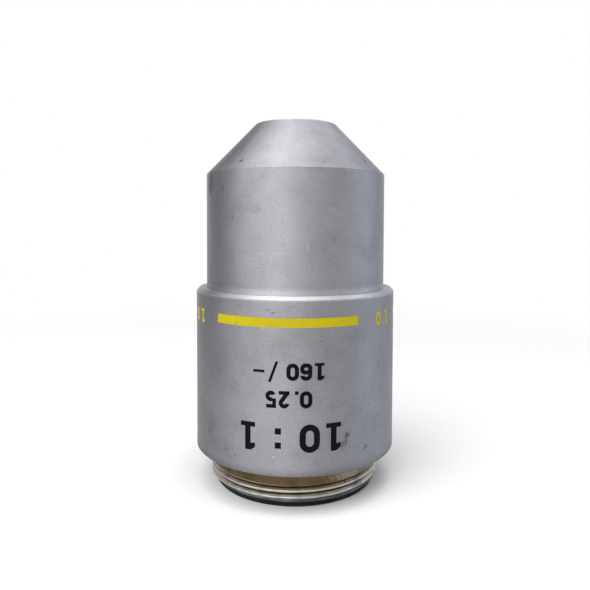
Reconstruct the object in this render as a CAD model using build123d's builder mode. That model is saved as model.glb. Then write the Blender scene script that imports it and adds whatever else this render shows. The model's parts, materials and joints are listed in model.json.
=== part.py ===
from build123d import *
import os
from math import acos, atan2, cos, degrees, hypot, radians, sin, sqrt

# A low-power microscope objective of the short-barrel kind, standing on the rear end of its thread.
#
# The objective is turned round one axis, +Z, which runs from the rear end of the thread to the front
# lens. Light comes in at the cone-shaped tip, passes two cemented pairs of lenses and leaves through
# the open rear bore. The origin is on the axis at the rear end, so the part stands on the XY plane.
# The front of the marked sleeve faces -Y. All sizes are in millimetres.

# The two ends of the objective, and its overall lengths. Heights "above the shoulder" start at the
# face that seats on the nosepiece of the microscope.
shoulder_height = 4.3
tip_above_shoulder = 38.5
cone_height = 6.1
sleeve_length = 18.9
sleeve_top_chamfer = 0.36
edge_break = 0.1

# Standard objective thread, drawn at its outer diameter, and the dark ring behind it.
thread_diameter = 20.24
thread_lead_chamfer = 0.45
baffle_lip = 0.6
baffle_step = 0.12
baffle_spigot_length = 3.0
baffle_spigot_wall = 0.88

# Clearances, all measured on the radius or along the axis.
slip_clearance = 0.03
screwed_clearance = 0.02
lens_clearance = 0.01
cement_thickness = 0.01

# Front pair of lenses.
front_lens_diameter = 6.6
front_flint_thickness = 0.9
front_crown_thickness = 2.1
front_joint_radius = 8.86
front_rear_radius = 7.93

# Rear pair of lenses, and the air between the pairs.
lens_gap = 12.126
rear_lens_diameter = 10.4
rear_flint_thickness = 1.1
rear_crown_thickness = 3.4
rear_joint_radius = 13.7
rear_rear_radius = 12.28

# Front cell and the ring that holds its lenses. Its nose fills the opening of the tip.
cell_recess = 0.3
front_lip_thickness = 0.3
front_lens_overlap = 0.4
front_thread_step = 0.4
front_cell_wall = 0.77
front_cell_nose_wall = 0.56
front_cell_nose_length = 0.5
front_cell_body_length = 5.7
front_cell_flange_thickness = 1.2
front_retainer_thickness = 1.0

# Rear cell and the ring that holds its lenses.
rear_lip_thickness = 0.5
rear_lens_overlap = 0.45
rear_thread_step = 0.5
rear_cell_wall = 0.47
rear_cell_skirt = 0.2
rear_retainer_thickness = 1.2

# Spacer, light stop and the ring that holds the stack in the tube.
spacer_wall = 0.87
stop_opening_diameter = 8.7
stop_thickness = 0.4
stack_ring_width = 1.28
stack_ring_thickness = 1.8

# Inner tube, its shim and its lock ring.
tube_wall = 1.2
tube_flange_width = 1.17
tube_flange_thickness = 1.6
tube_guide_wall = 1.2
tube_guide_length = 2.9
tube_shoulder_drop = 2.8
shim_thickness = 0.3
lock_ring_thickness = 2.0

# Brass body: it carries the thread at one end, and the sleeve and the nose at the other.
boss_length = 8.5
neck_length = 9.0
neck_wall = 0.965
shelf_width = 1.6
shelf_above_shoulder = 5.0

# Nose shell and sleeve.
nose_wall = 1.2
tip_rim_width = 1.0
tip_countersink = 0.15
sleeve_wall = 1.185
sleeve_skirt_wall = 0.8

# Spanner slots of the threaded rings.
spanner_slot_width = 1.0
spanner_slot_depth = 0.4

# Colour band and numbers: shallow recesses in the sleeve, filled with paint.
recess_depth = 0.12
paint_thickness = 0.10
band_height = 1.0
band_below_sleeve_top = 2.7
band_arc = 79.0
band_centre_angle = -5.1
band_count = 3
band_number_height = 1.6
band_number_drop = 0.14
band_number_pitch = 1.85
large_number_height = 3.0
large_number_above_shoulder = 4.1
small_number_height = 1.82
aperture_number_above_shoulder = 8.2
tube_number_above_shoulder = 11.1
small_stroke_share = 0.24
large_stroke_share = 0.22

# Each character of a line, with the place of its middle round the sleeve. Zero is the front, and
# places run to the right. The lines read from right to left here, because the numbers stand on
# their heads while the objective stands on its thread.
large_line = [("1", 4.2), ("0", 1.6), (":", -1.75), ("1", -5.1)]
aperture_line = [("0", 1.19), (".", 0.21), ("2", -1.11), ("5", -2.52)]
tube_line = [("1", 2.6), ("6", 1.19), ("0", -0.22), ("/", -2.27), ("-", -3.83)]


def sag(surface_radius, height):
    """How far a ball-shaped lens face falls away from its middle at this distance from the axis."""
    return surface_radius - sqrt(surface_radius**2 - height**2)


# Radii of the front cell, from the lens outwards to the opening of the tip.
front_lens_radius = front_lens_diameter / 2
front_clear_radius = front_lens_radius - front_lens_overlap
front_seat_radius = front_lens_radius + lens_clearance
front_thread_radius = front_lens_radius + front_thread_step
front_body_radius = front_thread_radius + front_cell_wall
front_nose_radius = front_seat_radius + front_cell_nose_wall
tip_opening_radius = front_nose_radius + slip_clearance
tip_radius = tip_opening_radius + tip_rim_width

# Radii of the stack, from the rear lens outwards through the tube and the body to the sleeve.
rear_lens_radius = rear_lens_diameter / 2
rear_clear_radius = rear_lens_radius - rear_lens_overlap
rear_seat_radius = rear_lens_radius + lens_clearance
rear_thread_radius = rear_lens_radius + rear_thread_step
stack_radius = rear_thread_radius + rear_cell_wall
tube_bore_radius = stack_radius + slip_clearance
tube_radius = tube_bore_radius + tube_wall
flange_radius = tube_radius + tube_flange_width
body_bore_radius = flange_radius + slip_clearance
body_rear_bore_radius = body_bore_radius - shelf_width
neck_radius = body_bore_radius + neck_wall
nose_bore_radius = neck_radius + screwed_clearance
nose_radius = nose_bore_radius + nose_wall
sleeve_bore_radius = nose_radius + slip_clearance
sleeve_radius = sleeve_bore_radius + sleeve_wall
boss_bore_radius = sleeve_radius - sleeve_skirt_wall
boss_radius = boss_bore_radius - screwed_clearance

# Radii of the thread and of the ring behind it.
thread_radius = thread_diameter / 2
thread_end_radius = thread_radius - thread_lead_chamfer
baffle_radius = thread_end_radius - baffle_step
spigot_radius = body_rear_bore_radius - screwed_clearance
baffle_bore_radius = spigot_radius - baffle_spigot_wall

# Heights of the body, the sleeve and the nose.
thread_end = baffle_lip
boss_top = shoulder_height + boss_length
neck_top = boss_top + neck_length
sleeve_top = shoulder_height + sleeve_length
tip_top = shoulder_height + tip_above_shoulder
cone_start = tip_top - cone_height

# Heights of the lens faces on the axis, from the tip back to the rear.
cell_front = tip_top - cell_recess
front_glass = cell_front - front_lip_thickness
front_joint = front_glass - front_flint_thickness
front_crown_rear = front_joint - front_crown_thickness
rear_glass = front_crown_rear - lens_gap
rear_joint = rear_glass - rear_flint_thickness
rear_crown_rear = rear_joint - rear_crown_thickness

# Heights of the pieces that hold the lenses, from the tip back to the rear.
front_retainer_front = front_crown_rear + sag(front_rear_radius, front_clear_radius) - lens_clearance
front_retainer_rear = front_retainer_front - front_retainer_thickness
front_cell_step = cell_front - front_cell_body_length
front_cell_rear = front_cell_step - front_cell_flange_thickness
rear_cell_front = rear_glass + rear_lip_thickness
rear_retainer_front = rear_crown_rear + sag(rear_rear_radius, rear_clear_radius) - lens_clearance
rear_retainer_rear = rear_retainer_front - rear_retainer_thickness
rear_cell_rear = rear_retainer_rear - rear_cell_skirt
stop_rear = rear_cell_rear - stop_thickness
stack_ring_rear = stop_rear - stack_ring_thickness

# Heights of the tube and what holds it.
shelf_height = shoulder_height + shelf_above_shoulder
tube_rear = shelf_height + shim_thickness
flange_top = tube_rear + tube_flange_thickness
lock_ring_top = flange_top + lock_ring_thickness
tube_front = front_cell_step + tube_guide_length
tube_shoulder = tube_front - tube_shoulder_drop


def turn(outline):
    """Turn a closed outline of (radius, height) points round the optical axis."""
    with BuildSketch(Plane.XZ) as section:
        with BuildLine():
            Polyline(*outline, close=True)
        make_face()
    revolve(section.sketch, axis=Axis.Z)


def ring(inner_radius, outer_radius, rear, front):
    """Turn a plain ring between two heights."""
    turn([(inner_radius, rear), (outer_radius, rear), (outer_radius, front), (inner_radius, front)])


def cut_spanner_slots(face_height, outer_radius, into_part):
    """Cut two slots for a pin spanner across a ring's face, into the part along +Z (1) or -Z (-1)."""
    with BuildSketch(Plane.XY.offset(face_height)) as slot:
        Rectangle(2 * outer_radius, spanner_slot_width)
    extrude(slot.sketch, amount=into_part * spanner_slot_depth, mode=Mode.SUBTRACT)


def lens_crown(rear_vertex, rear_radius, joint_vertex, joint_radius, rim):
    """Turn the crown element out to its rim radius: both of its faces bulge outwards."""
    with BuildSketch(Plane.XZ) as section:
        with BuildLine():
            rear_face = TangentArc(
                (0, rear_vertex), (rim, rear_vertex + sag(rear_radius, rim)), tangent=(1, 0)
            )
            joint_face = TangentArc(
                (0, joint_vertex), (rim, joint_vertex - sag(joint_radius, rim)), tangent=(1, 0)
            )
            Line(rear_face @ 1, joint_face @ 1)
            Line(rear_face @ 0, joint_face @ 0)
        make_face()
    revolve(section.sketch, axis=Axis.Z)


def lens_flint(joint_vertex, joint_radius, front_face, rim):
    """Turn the flint element: flat towards the specimen, hollow where the crown is cemented in."""
    with BuildSketch(Plane.XZ) as section:
        with BuildLine():
            joint_face = TangentArc(
                (0, joint_vertex), (rim, joint_vertex - sag(joint_radius, rim)), tangent=(1, 0)
            )
            Line(joint_face @ 1, (rim, front_face))
            Line((rim, front_face), (0, front_face))
            Line((0, front_face), joint_face @ 0)
        make_face()
    revolve(section.sketch, axis=Axis.Z)


# Characters of the markings. Each one is drawn upright about the middle of its own sketch plane.
def stroke_of(height):
    """Width of a character's strokes: the small ones are a little bolder for their size."""
    share = large_stroke_share if height > small_number_height else small_stroke_share
    return share * height


def draw_zero(height):
    stroke = stroke_of(height)
    width = 0.72 * height
    SlotOverall(height, width, rotation=90)
    SlotOverall(height - 2 * stroke, width - 2 * stroke, rotation=90, mode=Mode.SUBTRACT)


def draw_one(height):
    stroke = stroke_of(height)
    stem_left = -stroke / 2
    flag_reach = 0.17 * height
    top = height / 2
    Rectangle(stroke, height)
    with Locations((0, -top)):
        Rectangle(0.57 * height, 0.17 * height, align=(Align.CENTER, Align.MIN))
    with BuildLine() as flag:
        Polyline(
            (stem_left + stroke / 2, top),
            (stem_left, top),
            (stem_left - flag_reach, top - 0.12 * height),
            (stem_left - flag_reach, top - 0.28 * height),
            (stem_left + stroke / 2, top - 0.24 * height),
            close=True,
        )
    make_face(flag.edges())


def draw_two(height):
    stroke = stroke_of(height)
    width = 0.62 * height
    bend = (width - stroke) / 2
    bend_centre = height / 2 - width / 2
    foot = (-bend, stroke - height / 2)
    run = (foot[0], foot[1] - bend_centre)
    end_angle = degrees(atan2(run[1], run[0]) + acos(bend / hypot(*run)))
    start_angle = 170
    with BuildLine() as curve:
        CenterArc((0, bend_centre), bend, start_angle, end_angle - start_angle)
        Line(
            (bend * cos(radians(end_angle)), bend_centre + bend * sin(radians(end_angle))),
            (foot[0], foot[1] - stroke / 2),
        )
    trace(curve.edges(), line_width=stroke)
    with Locations((0, -height / 2)):
        Rectangle(width, 0.9 * stroke, align=(Align.CENTER, Align.MIN))


def draw_five(height):
    stroke = stroke_of(height)
    width = 0.62 * height
    bend = (width - stroke) / 2
    bend_centre = width / 2 - height / 2
    with BuildLine() as curve:
        CenterArc((0, bend_centre), bend, -155, 280)
    trace(curve.edges(), line_width=stroke)
    with Locations((-width / 2, height / 2)):
        Rectangle(0.94 * width, 0.9 * stroke, align=(Align.MIN, Align.MAX))
        Rectangle(0.9 * stroke, 0.56 * height, align=(Align.MIN, Align.MAX))


def draw_six(height):
    stroke = stroke_of(height)
    width = 0.7 * height
    bowl_height = 0.64 * height
    SlotOverall(height, width, rotation=90)
    SlotOverall(height - 2 * stroke, width - 2 * stroke, rotation=90, mode=Mode.SUBTRACT)
    with Locations((0, bowl_height - stroke - height / 2)):
        Rectangle(
            width, height - bowl_height - 0.05 * height, align=(Align.MIN, Align.MIN), mode=Mode.SUBTRACT
        )
    with Locations((0, bowl_height / 2 - height / 2)):
        RectangleRounded(width, bowl_height, 0.45 * bowl_height)
        counter_height = bowl_height - 2 * stroke
        RectangleRounded(width - 2 * stroke, counter_height, 0.42 * counter_height, mode=Mode.SUBTRACT)


def draw_point(height):
    with Locations((0, -height / 2)):
        Rectangle(0.21 * height, 0.21 * height, align=(Align.CENTER, Align.MIN))


def draw_colon(height):
    dot = stroke_of(height)
    with GridLocations(0, 0.5 * height, 1, 2):
        Rectangle(dot, dot)


def draw_slash(height):
    half_rise = 0.6 * height
    half_run = 0.22 * height
    half_width = 0.085 * height
    with BuildLine() as outline:
        Polyline(
            (-half_run - half_width, -half_rise),
            (-half_run + half_width, -half_rise),
            (half_run + half_width, half_rise),
            (half_run - half_width, half_rise),
            close=True,
        )
    make_face(outline.edges())


def draw_dash(height):
    Rectangle(0.68 * height, 0.16 * height)


draw_character = {
    "0": draw_zero,
    "1": draw_one,
    "2": draw_two,
    "5": draw_five,
    "6": draw_six,
    ".": draw_point,
    ":": draw_colon,
    "/": draw_slash,
    "-": draw_dash,
}


def marking_plane(place, height):
    """Plane that touches the sleeve at this place round it, for a character on its head."""
    angle = place / sleeve_radius
    outwards = Vector(sin(angle), -cos(angle), 0)
    return Plane(
        origin=outwards * sleeve_radius + Vector(0, 0, height),
        x_dir=(-cos(angle), -sin(angle), 0),
        z_dir=outwards,
    )


def raise_line(line, character_height, line_height, turned=0.0):
    """Raise a line of characters through the skin of the sleeve, turned round it by some degrees."""
    for character, place in line:
        with BuildSketch(marking_plane(place + radians(turned) * sleeve_radius, line_height)) as shape:
            draw_character[character](character_height)
        extrude(shape.sketch, amount=3 * recess_depth, both=True)


def keep_skin(inner_radius, outer_radius):
    """Keep what lies in a thin tube at the sleeve's surface."""
    with BuildSketch(Plane.XY) as skin:
        Circle(outer_radius)
        Circle(inner_radius, mode=Mode.SUBTRACT)
    extrude(skin.sketch, amount=sleeve_top, mode=Mode.INTERSECT)


def turn_bands(inner_radius, outer_radius):
    """Turn the colour bands, spaced evenly round the sleeve."""
    middle = sleeve_top - band_below_sleeve_top
    for copy in range(band_count):
        start = radians(band_centre_angle - band_arc / 2 + 360 / band_count * copy - 90)
        section = Plane(
            origin=(0, 0, 0), x_dir=(cos(start), sin(start), 0), z_dir=(sin(start), -cos(start), 0)
        )
        with BuildSketch(section) as bar:
            with Locations(((inner_radius + outer_radius) / 2, middle)):
                Rectangle(outer_radius - inner_radius, band_height)
        revolve(bar.sketch, axis=Axis.Z, revolution_arc=band_arc)


def raise_band_numbers():
    """Raise the coloured number between each pair of bands."""
    line = [("1", band_number_pitch / 2), ("0", -band_number_pitch / 2)]
    line_height = sleeve_top - band_below_sleeve_top - band_number_drop
    for copy in range(band_count):
        turned = band_centre_angle + 360 / band_count * (copy + 0.5)
        raise_line(line, band_number_height, line_height, turned)


def raise_plain_numbers():
    """Raise the three lines of dark numbers on the front of the sleeve."""
    raise_line(large_line, large_number_height, shoulder_height + large_number_above_shoulder)
    raise_line(aperture_line, small_number_height, shoulder_height + aperture_number_above_shoulder)
    raise_line(tube_line, small_number_height, shoulder_height + tube_number_above_shoulder)


recess_floor = sleeve_radius - recess_depth
paint_surface = recess_floor + paint_thickness
recess_reach = sleeve_radius + recess_depth

# Colour bands.
with BuildPart() as band_paint:
    turn_bands(recess_floor, paint_surface)
band_paint.part.label = "band_paint"

# Coloured numbers between the bands.
with BuildPart() as band_number_paint:
    raise_band_numbers()
    keep_skin(recess_floor, paint_surface)
band_number_paint.part.label = "band_number_paint"

# Dark numbers on the front.
with BuildPart() as number_paint:
    raise_plain_numbers()
    keep_skin(recess_floor, paint_surface)
number_paint.part.label = "number_paint"

# The same shapes, deeper and reaching out of the sleeve, which the recesses are cut with.
with BuildPart() as number_recess:
    raise_plain_numbers()
    raise_band_numbers()
    keep_skin(recess_floor, recess_reach)

with BuildPart() as band_recess:
    turn_bands(recess_floor, recess_reach)

# Outer sleeve: slides over the nose from the front and screws onto the boss of the body.
with BuildPart() as barrel_sleeve:
    turn(
        [
            (boss_bore_radius, shoulder_height),
            (sleeve_radius, shoulder_height),
            (sleeve_radius, sleeve_top),
            (sleeve_bore_radius, sleeve_top),
            (sleeve_bore_radius, boss_top),
            (boss_bore_radius, boss_top),
        ]
    )
    outer_rims = barrel_sleeve.edges().filter_by(GeomType.CIRCLE).sort_by(SortBy.RADIUS)[-2:]
    chamfer(outer_rims.sort_by(Axis.Z)[-1], length=sleeve_top_chamfer)
    chamfer(outer_rims.sort_by(Axis.Z)[0], length=edge_break)
    add(number_recess.part, mode=Mode.SUBTRACT)
    add(band_recess.part, mode=Mode.SUBTRACT)
barrel_sleeve.part.label = "barrel_sleeve"

# Brass body: thread, seating shoulder, boss for the sleeve and neck for the nose, in one turned piece.
with BuildPart() as thread_body:
    turn(
        [
            (body_rear_bore_radius, thread_end),
            (thread_end_radius, thread_end),
            (thread_radius, thread_end + thread_lead_chamfer),
            (thread_radius, shoulder_height),
            (boss_radius, shoulder_height),
            (boss_radius, boss_top),
            (neck_radius, boss_top),
            (neck_radius, neck_top),
            (body_bore_radius, neck_top),
            (body_bore_radius, shelf_height),
            (body_rear_bore_radius, shelf_height),
        ]
    )
thread_body.part.label = "thread_body"

# Dark baffle ring: its lip covers the rear end of the thread, its spigot screws into the rear bore.
with BuildPart() as rear_baffle:
    turn(
        [
            (baffle_bore_radius, 0),
            (baffle_radius - edge_break, 0),
            (baffle_radius, edge_break),
            (baffle_radius, baffle_lip),
            (spigot_radius, baffle_lip),
            (spigot_radius, baffle_lip + baffle_spigot_length),
            (baffle_bore_radius, baffle_lip + baffle_spigot_length),
        ]
    )
    cut_spanner_slots(0, spigot_radius, 1)
rear_baffle.part.label = "rear_baffle"

# Nose shell: a straight skirt that screws onto the neck, and the cone with the light opening.
with BuildPart() as nose_shell:
    cone_slope = (nose_radius - tip_radius) / cone_height
    wall_across = nose_wall * sqrt(1 + cone_slope**2)
    inner_cone_start = cone_start + (nose_wall - wall_across) / cone_slope
    inner_cone_end = cone_start + (nose_radius - wall_across - tip_opening_radius) / cone_slope
    turn(
        [
            (nose_bore_radius, boss_top),
            (nose_radius, boss_top),
            (nose_radius, cone_start),
            (tip_radius, tip_top),
            (tip_opening_radius + tip_countersink, tip_top),
            (tip_opening_radius, tip_top - tip_countersink),
            (tip_opening_radius, inner_cone_end),
            (nose_bore_radius, inner_cone_start),
        ]
    )
nose_shell.part.label = "nose_shell"

# Shim ring that sets the focus height of the lens stack.
with BuildPart() as parfocal_shim:
    ring(body_rear_bore_radius + slip_clearance, flange_radius, shelf_height, tube_rear)
parfocal_shim.part.label = "parfocal_shim"

# Inner tube: its flange stands on the shim, its front end guides the front cell.
with BuildPart() as lens_tube:
    guide_bore_radius = front_body_radius + slip_clearance
    guide_radius = guide_bore_radius + tube_guide_wall
    turn(
        [
            (tube_bore_radius, tube_rear),
            (flange_radius, tube_rear),
            (flange_radius, flange_top),
            (tube_radius, flange_top),
            (tube_radius, tube_shoulder),
            (guide_radius, tube_shoulder + tube_radius - guide_radius),
            (guide_radius, tube_front),
            (guide_bore_radius, tube_front),
            (guide_bore_radius, front_cell_step),
            (tube_bore_radius, front_cell_step),
        ]
    )
lens_tube.part.label = "lens_tube"

# Lock ring that holds the inner tube down on its shim.
with BuildPart() as tube_lock_ring:
    lock_ring_radius = body_bore_radius - screwed_clearance
    ring(tube_radius + slip_clearance, lock_ring_radius, flange_top, lock_ring_top)
    cut_spanner_slots(lock_ring_top, lock_ring_radius, -1)
tube_lock_ring.part.label = "tube_lock_ring"

# Front cell: holds the front pair behind a thin lip, and rests on the step of the inner tube.
with BuildPart() as front_cell:
    nose_step = front_body_radius - front_nose_radius
    nose_rear = cell_front - front_cell_nose_length
    seat_rear = front_crown_rear + sag(front_rear_radius, front_lens_radius)
    turn(
        [
            (front_thread_radius, front_cell_rear),
            (stack_radius, front_cell_rear),
            (stack_radius, front_cell_step),
            (front_body_radius, front_cell_step),
            (front_body_radius, nose_rear - nose_step),
            (front_nose_radius, nose_rear),
            (front_nose_radius, cell_front),
            (front_clear_radius + front_lip_thickness, cell_front),
            (front_clear_radius, front_glass),
            (front_seat_radius, front_glass),
            (front_seat_radius, seat_rear),
            (front_thread_radius, seat_rear),
        ]
    )
front_cell.part.label = "front_cell"

# Front pair of lenses, cemented together.
with BuildPart() as front_flint:
    lens_flint(front_joint, front_joint_radius, front_glass, front_lens_radius)
front_flint.part.label = "front_flint"

with BuildPart() as front_crown:
    lens_crown(
        front_crown_rear,
        front_rear_radius,
        front_joint - cement_thickness,
        front_joint_radius,
        front_lens_radius,
    )
front_crown.part.label = "front_crown"

# Threaded ring behind the front pair.
with BuildPart() as front_retainer:
    front_retainer_radius = front_thread_radius - screwed_clearance
    ring(front_clear_radius, front_retainer_radius, front_retainer_rear, front_retainer_front)
    cut_spanner_slots(front_retainer_rear, front_retainer_radius, 1)
front_retainer.part.label = "front_retainer"

# Spacer between the two cells.
with BuildPart() as spacer_tube:
    ring(stack_radius - spacer_wall, stack_radius, rear_cell_front, front_cell_rear)
spacer_tube.part.label = "spacer_tube"

# Rear cell: holds the rear pair behind a lip, and stands between the spacer and the light stop.
with BuildPart() as rear_cell:
    rear_seat_end = rear_crown_rear + sag(rear_rear_radius, rear_lens_radius)
    turn(
        [
            (rear_thread_radius, rear_cell_rear),
            (stack_radius, rear_cell_rear),
            (stack_radius, rear_cell_front),
            (rear_clear_radius, rear_cell_front),
            (rear_clear_radius, rear_glass),
            (rear_seat_radius, rear_glass),
            (rear_seat_radius, rear_seat_end),
            (rear_thread_radius, rear_seat_end),
        ]
    )
rear_cell.part.label = "rear_cell"

# Rear pair of lenses, cemented together.
with BuildPart() as rear_flint:
    lens_flint(rear_joint, rear_joint_radius, rear_glass, rear_lens_radius)
rear_flint.part.label = "rear_flint"

with BuildPart() as rear_crown:
    lens_crown(
        rear_crown_rear,
        rear_rear_radius,
        rear_joint - cement_thickness,
        rear_joint_radius,
        rear_lens_radius,
    )
rear_crown.part.label = "rear_crown"

# Threaded ring behind the rear pair.
with BuildPart() as rear_retainer:
    rear_retainer_radius = rear_thread_radius - screwed_clearance
    ring(rear_clear_radius, rear_retainer_radius, rear_retainer_rear, rear_retainer_front)
    cut_spanner_slots(rear_retainer_rear, rear_retainer_radius, 1)
rear_retainer.part.label = "rear_retainer"

# Thin disc that limits the light, behind the rear cell.
with BuildPart() as aperture_stop:
    ring(stop_opening_diameter / 2, stack_radius, stop_rear, rear_cell_rear)
aperture_stop.part.label = "aperture_stop"

# Threaded ring that holds the whole stack in the inner tube.
with BuildPart() as stack_ring:
    stack_ring_radius = tube_bore_radius - screwed_clearance
    ring(stack_ring_radius - stack_ring_width, stack_ring_radius, stack_ring_rear, stop_rear)
    cut_spanner_slots(stack_ring_rear, stack_ring_radius, 1)
stack_ring.part.label = "stack_ring"

pieces = [
    rear_baffle,
    thread_body,
    barrel_sleeve,
    nose_shell,
    parfocal_shim,
    lens_tube,
    tube_lock_ring,
    front_cell,
    front_flint,
    front_crown,
    front_retainer,
    spacer_tube,
    rear_cell,
    rear_flint,
    rear_crown,
    rear_retainer,
    aperture_stop,
    stack_ring,
    band_paint,
    band_number_paint,
    number_paint,
]

os.makedirs("parts", exist_ok=True)
for piece in pieces:
    export_step(piece.part, f"parts/{piece.part.label}.step")
    print(f"{piece.part.label}: {piece.part.volume:.2f} mm3, {len(piece.part.solids())} solids")
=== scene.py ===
# %% [markdown]
# # A microscope objective
# The real object is a short barrel of turned brass, plated satin, that screws into a microscope.
# It stands on its thread, with the front lens up. The solid model of it is loaded first, with every
# place and size in metres. The scene then turns two of its pieces again with finer detail, gives
# every piece its finish, and sets the camera, the floor and the lamps round it.

# %% Load the solid model
import json
from math import atan2, cos, floor, hypot, pi, radians, sin, sqrt

import bmesh
import bpy
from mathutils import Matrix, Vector


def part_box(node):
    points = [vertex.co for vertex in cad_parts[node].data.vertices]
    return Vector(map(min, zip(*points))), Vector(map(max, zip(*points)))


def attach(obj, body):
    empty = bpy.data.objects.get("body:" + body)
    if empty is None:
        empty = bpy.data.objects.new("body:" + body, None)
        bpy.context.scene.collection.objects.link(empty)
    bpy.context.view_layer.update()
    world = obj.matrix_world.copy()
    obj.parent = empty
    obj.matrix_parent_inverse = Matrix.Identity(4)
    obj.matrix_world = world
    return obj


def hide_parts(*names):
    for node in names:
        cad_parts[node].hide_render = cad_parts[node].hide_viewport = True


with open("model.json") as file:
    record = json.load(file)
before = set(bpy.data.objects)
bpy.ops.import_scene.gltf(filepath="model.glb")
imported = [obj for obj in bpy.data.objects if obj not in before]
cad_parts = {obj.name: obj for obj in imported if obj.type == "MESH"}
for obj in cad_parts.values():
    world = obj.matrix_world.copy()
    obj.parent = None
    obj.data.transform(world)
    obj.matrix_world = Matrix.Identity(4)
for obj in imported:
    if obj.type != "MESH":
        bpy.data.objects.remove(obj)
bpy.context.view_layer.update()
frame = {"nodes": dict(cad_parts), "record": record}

mm = 0.001
print("pieces in the model:", len(frame["nodes"]))

# %% [markdown]
# The outer pieces are all turned round the upright axis, so a radius and two heights describe each
# one. They could be typed in, but reading them from the model keeps the scene right if a size
# changes there, and every new piece takes its size from them.

# %% Measure the turned pieces


def radius_of(node):
    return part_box(node)[1].x


def rear_of(node):
    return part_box(node)[0].z


def front_of(node):
    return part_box(node)[1].z


sleeve_radius = radius_of("barrel_sleeve")
shoulder_height = rear_of("barrel_sleeve")
sleeve_top = front_of("barrel_sleeve")
nose_radius = radius_of("nose_shell")
nose_rear = rear_of("nose_shell")
tip_height = front_of("nose_shell")
body_radius = radius_of("thread_body")
body_rear = rear_of("thread_body")
body_front = front_of("thread_body")
print(f"sleeve {2 * sleeve_radius / mm:.2f} mm, nose {2 * nose_radius / mm:.2f} mm across")
print(f"shoulder at {shoulder_height / mm:.2f} mm, tip at {tip_height / mm:.2f} mm")

# %% [markdown]
# The photograph was taken from close by, a little above the middle of the barrel, so its upper
# edges look nearly straight while the lower ones curve. A camera 7 cm from the axis gives the same
# curves. It is tilted by only two degrees and its picture is shifted for the rest, as on a view
# camera, which keeps the sides of the barrel upright.

# %% Set the camera
image_pixels = 590
focal_pixels = 572.4
principal_column = 295.36
principal_row = 250.5
sensor_width = 36.0

camera_data = bpy.data.cameras.new("photo_camera")
camera_data.sensor_fit = "HORIZONTAL"
camera_data.sensor_width = sensor_width
camera_data.lens = sensor_width * focal_pixels / image_pixels
camera_data.shift_x = (image_pixels / 2 - principal_column) / image_pixels
camera_data.shift_y = (principal_row - image_pixels / 2) / image_pixels
camera_data.clip_start = 1 * mm

camera_distance = 70.65 * mm
camera_height = shoulder_height + 25.98 * mm
camera_pitch = 0.0388
camera_roll = -0.0037
camera = bpy.data.objects.new("photo_camera", camera_data)
bpy.context.scene.collection.objects.link(camera)
camera.location = (0, -camera_distance, camera_height)
camera.rotation_euler = (pi / 2 - camera_pitch, camera_roll, 0)
bpy.context.scene.camera = camera
print(f"camera {camera_distance / mm:.1f} mm from the axis, {camera_height / mm:.1f} mm up")

# %% [markdown]
# A lathe makes each outer piece from a section: half of its cross-section, drawn as points of
# (radius, height). Here the section is a closed loop of edges, and a full spin round the axis with
# its last step merged into the first gives a closed solid. A modifier could do the same, but the
# operator leaves a real mesh whose rings can be worked on afterwards.

# %% Spin a section into a solid
steps_around = 256
same_place = 1e-7


def spin_section(section):
    build = bmesh.new()
    corners = [build.verts.new((radius, 0, height)) for radius, height in section]
    sides = [build.edges.new(pair) for pair in zip(corners, corners[1:] + corners[:1])]
    bmesh.ops.spin(
        build,
        geom=corners + sides,
        cent=(0, 0, 0),
        axis=(0, 0, 1),
        dvec=(0, 0, 0),
        angle=2 * pi,
        steps=steps_around,
        use_merge=True,
        use_duplicate=False,
    )
    bmesh.ops.remove_doubles(build, verts=build.verts, dist=same_place)
    bmesh.ops.recalc_face_normals(build, faces=build.faces)
    return build


print("a full turn has", steps_around, "steps")

# %% [markdown]
# A real edge is never quite sharp. The ring of edges at a chosen corner is found by its radius and
# height and bevelled, so that it catches a thin line of light as on the real barrel.

# %% Round an edge, and finish a piece
ring_slack = 1e-6
bevel_segments = 3
crease_angle = radians(30)


def lies_on_ring(vertex, radius, height):
    across = abs(hypot(vertex.co.x, vertex.co.y) - radius)
    along = abs(vertex.co.z - height)
    return across < ring_slack and along < ring_slack


def round_ring(build, radius, height, width):
    ring = [
        edge
        for edge in build.edges
        if all(lies_on_ring(vertex, radius, height) for vertex in edge.verts)
    ]
    bmesh.ops.bevel(
        build,
        geom=ring,
        offset=width,
        offset_type="OFFSET",
        affect="EDGES",
        segments=bevel_segments,
        profile=0.5,
        material=-1,
    )


def new_piece(name, build):
    mesh = bpy.data.meshes.new(name)
    build.to_mesh(mesh)
    build.free()
    mesh.polygons.foreach_set("use_smooth", [True] * len(mesh.polygons))
    mesh.set_sharp_from_angle(angle=crease_angle)
    piece = bpy.data.objects.new(name, mesh)
    bpy.context.scene.collection.objects.link(piece)
    print(f"{name}: {len(mesh.polygons)} faces")
    return piece


print("bevels have", bevel_segments, "segments")

# %% [markdown]
# The nose is one thin shell: a straight skirt that screws onto the brass neck inside the sleeve,
# and a cone that narrows to the opening of the front lens. The cone meets the skirt in a crisp
# edge, so only a very narrow bevel goes there, while the tip is worn a little rounder.

# %% Turn the nose
nose_wall = 1.2 * mm
cone_height = 6.1 * mm
tip_radius = 4.9 * mm
tip_opening = 3.9 * mm
tip_countersink = 0.15 * mm
crisp_edge = 0.04 * mm
soft_edge = 0.12 * mm

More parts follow.
